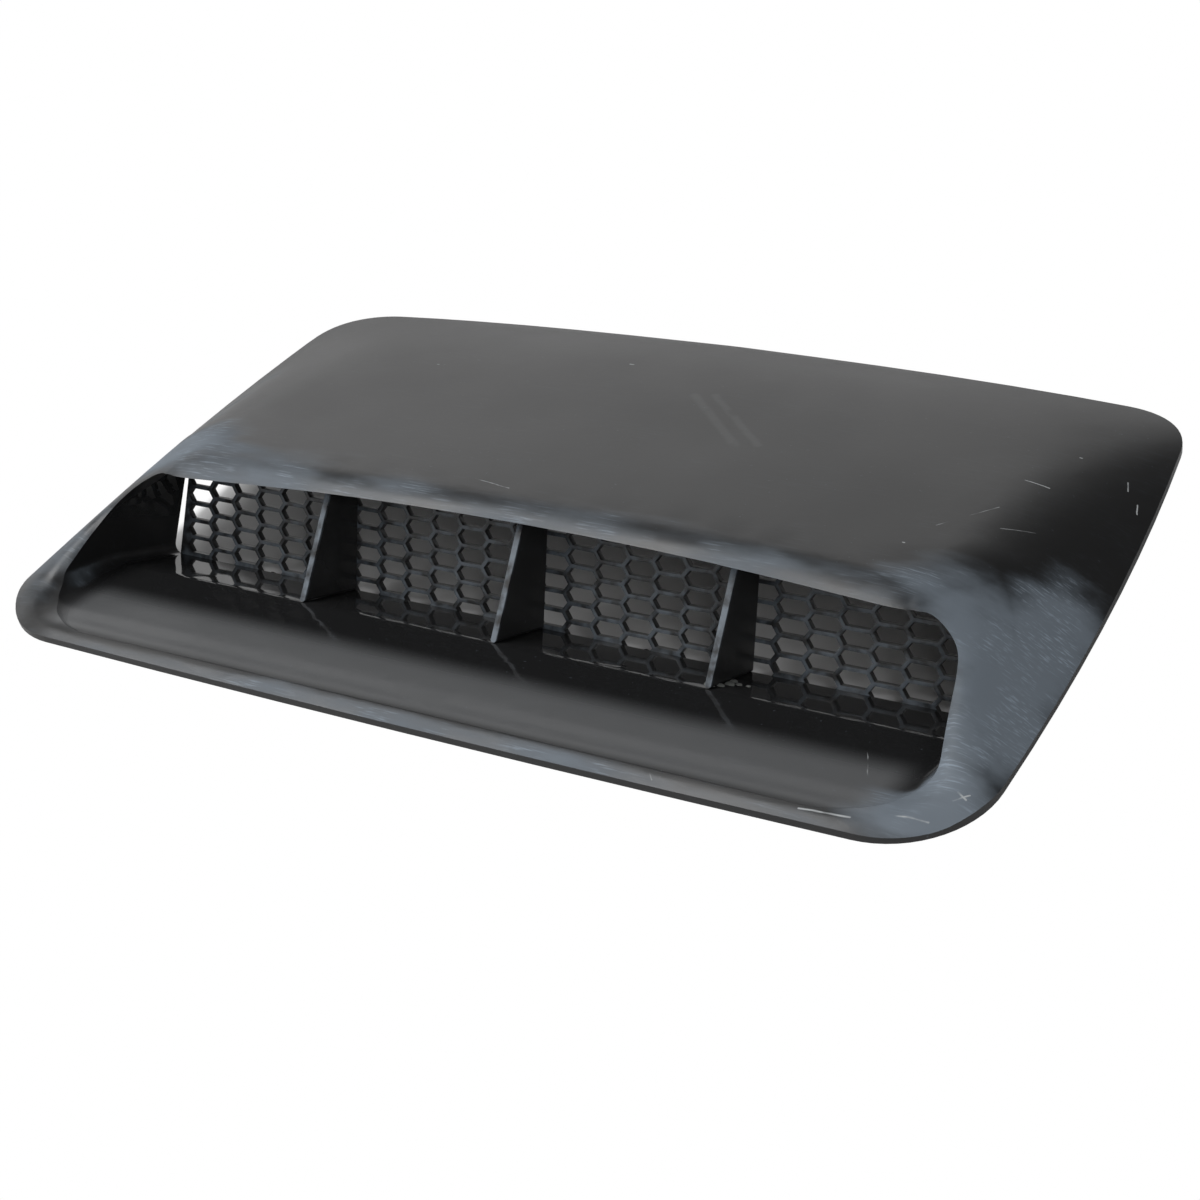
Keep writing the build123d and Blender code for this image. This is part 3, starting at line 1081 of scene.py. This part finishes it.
    def surroundings(self) -> None:
        """Makes a white background, with a softer and partly dark room in the reflections."""
        world = bpy.data.worlds.new("studio")
        bpy.context.scene.world = world
        world.use_nodes = True
        graph = Graph(world.node_tree)
        direction = graph.node("ShaderNodeTexCoord").outputs["Generated"]
        x, _, z = graph.parts(direction)
        sides = graph.ramp(x, *self.room_edge, self.room_left, self.room_right)
        lower = graph.ramp(z, *self.upper_step, 1.0, self.upper_share)
        toward = graph.vector("DOT_PRODUCT", direction, self.overhead).outputs["Value"]
        spot = graph.ramp(toward, *self.overhead_step, 0.0, self.overhead_extra)
        room = graph.math("ADD", graph.math("MULTIPLY", sides, lower), spot)
        seen = graph.node("ShaderNodeLightPath").outputs["Is Camera Ray"]
        background = world.node_tree.nodes["Background"]
        background.inputs["Color"].default_value = WHITE
        graph.feed(background.inputs["Strength"], graph.blend(seen, room, 1.0))

    def build(self) -> None:
        """Builds the floor, the room, the lamps and the camera."""
        self.floor()
        self.surroundings()
        for lamp in self.lamps:
            lamp.build()
        self.camera()


RUBBED_AND_HIGHLIGHT_PLACES = (
    PalePatch((-0.275, -0.048, 0.038), (0.080, 0.055, 0.045), Level.STRONG),
    PalePatch((-0.300, -0.030, 0.020), (0.045, 0.120, 0.045), Level.SOFT),
    # Along the lip: rubbed dullness, partly a painted highlight.
    PalePatch((-0.200, -0.062, 0.047), (0.150, 0.045, 0.030), Level.CLEAR),
    PalePatch((-0.030, -0.070, 0.051), (0.330, 0.034, 0.030), Level.SOFT),
    PalePatch((0.160, -0.078, 0.050), (0.220, 0.024, 0.030), Level.SOFT),
    PalePatch((0.262, -0.060, 0.042), (0.060, 0.045, 0.040), Level.CLEAR),
    PalePatch((0.285, -0.075, 0.035), (0.055, 0.055, 0.050), Level.STRONG),
    PalePatch((0.312, -0.055, 0.014), (0.055, 0.085, 0.050), Level.STRONG),
    PalePatch((0.310, -0.110, 0.014), (0.060, 0.100, 0.050), Level.STRONG),
    PalePatch((0.298, -0.175, 0.010), (0.065, 0.060, 0.030), Level.STRONG),
    PalePatch((0.290, -0.188, 0.006), (0.040, 0.026, 0.012), Level.STRONG),
    PalePatch((-0.306, -0.120, 0.015), (0.045, 0.110, 0.040), Level.CLEAR),
    PalePatch((-0.306, 0.020, 0.015), (0.030, 0.130, 0.030), Level.FAINT),
    # Along the rounded nose: a painted highlight, with scuffing.
    PalePatch((0.0, -0.205, 0.006), (0.420, 0.011, 0.012), Level.CLEAR),
)

SCRATCHES = (
    Mark((-0.042, -0.043, 0.0517), (-0.015, -0.048, 0.0527), 0.0006, Level.STRONG),
    Mark((0.233, -0.004, 0.0419), (0.255, 0.030, 0.0349), 0.0005, Level.CLEAR),
    Mark((0.2558, 0.0677, 0.0286), (0.2705, 0.0668, 0.0263), 0.0006, Level.STRONG),
    Mark((0.2636, 0.0088, 0.0369), (0.2798, 0.0175, 0.0307), 0.0005, Level.CLEAR),
    Mark((0.3133, 0.0863, 0.0094), (0.3160, 0.0779, 0.0087), 0.0006, Level.STRONG),
    Mark((0.3032, 0.1021, 0.0123), (0.3055, 0.0947, 0.0120), 0.0006, Level.STRONG),
    Mark((0.0224, 0.1101, 0.0268), (0.0823, 0.0499, 0.0362), 0.0045, Level.TRACE),
    Mark((0.0346, 0.1142, 0.0260), (0.0953, 0.0545, 0.0353), 0.0040, Level.TRACE),
    Mark((0.2467, -0.1399, -0.0043), (0.2558, -0.1600, -0.0003), 0.0004, Level.CLEAR),
    Mark((0.2371, -0.2003, 0.0070), (0.2639, -0.1984, 0.0074), 0.0008, Level.STRONG),
    Mark((0.2841, -0.1907, 0.0080), (0.2998, -0.1882, 0.0059), 0.0008, Level.STRONG),
    Mark((0.2953, -0.1701, 0.0096), (0.2989, -0.1622, 0.0116), 0.0006, Level.STRONG),
    Mark((0.1246, -0.1870, 0.0085), (0.1329, -0.1955, 0.0083), 0.0005, Level.CLEAR),
    Mark((0.1335, -0.1890, 0.0085), (0.1404, -0.1962, 0.0082), 0.0005, Level.CLEAR),
    Mark((0.1515, -0.1972, 0.0080), (0.1572, -0.2042, 0.0060), 0.0006, Level.CLEAR),
    Mark((0.1570, -0.1943, 0.0084), (0.1640, -0.2037, 0.0061), 0.0005, Level.CLEAR),
    Mark((0.1629, -0.1967, 0.0081), (0.1609, -0.2022, 0.0067), 0.0006, Level.CLEAR),
    Mark((0.3071, -0.1678, 0.0097), (0.3120, -0.1701, 0.0080), 0.0007, Level.STRONG),
    Mark((0.3060, -0.1729, 0.0086), (0.3129, -0.1672, 0.0083), 0.0006, Level.STRONG),
    Mark((-0.1755, 0.1082, 0.0251), (-0.1745, 0.1082, 0.0250), 0.0009, Level.CLEAR),
    Mark((-0.0456, 0.1451, 0.0205), (-0.0430, 0.1451, 0.0205), 0.0010, Level.STRONG),
    Mark((0.2722, 0.1115, 0.0189), (0.2732, 0.1115, 0.0188), 0.0009, Level.STRONG),
    Mark((0.2242, -0.0293, 0.0463), (0.2252, -0.0293, 0.0462), 0.0008, Level.STRONG),
)


SHELL_FINISH = ShellFinish(Finish("worn_black_moulding", roughness=0.34), RUBBED_AND_HIGHLIGHT_PLACES, SCRATCHES)
# Fins: the paler band along their raked front edges is a painted highlight with rubbing.
FIN_FINISH = PlainMouldingFinish(
    finish=Finish("fin_moulding", roughness=0.28),
    front=(0.0, -0.1135, -0.0092),
    facing=(0.0, 1.0, -1.0),
    depth=0.0022,
)
# Grille: the paler band on the web fronts is a painted highlight.
GRILLE_FINISH = PlainMouldingFinish(
    finish=Finish("grille_moulding", roughness=0.33),
    front=(0.0, -0.067, -0.0332),
    facing=(0.0, 0.909, -0.416),
    depth=0.0006,
)


def main() -> None:
    """Builds the scoop's finishes and pieces, then the studio around them."""
    logging.basicConfig(level=logging.INFO, format="%(name)s: %(message)s")
    groups = WearGroups()
    dress(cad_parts["shell"], SHELL_FINISH.build(groups))
    log.info("dressed the shell")
    fin_material = FIN_FINISH.build(groups)
    for name in ("fin_left", "fin_centre", "fin_right"):
        dress(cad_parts[name], fin_material)
        log.info("dressed %s", name)
    grille = MeshGrille().build(GRILLE_FINISH.build(groups))
    log.info("built %s", grille.name)
    glue = GlueDrops().build(GlueFinish().build(groups))
    log.info("built %s", glue.name)
    bpy.context.scene.view_settings.view_transform = "Standard"
    Studio().build()
    log.info("built the studio")


if __name__ == "__main__":
    main()
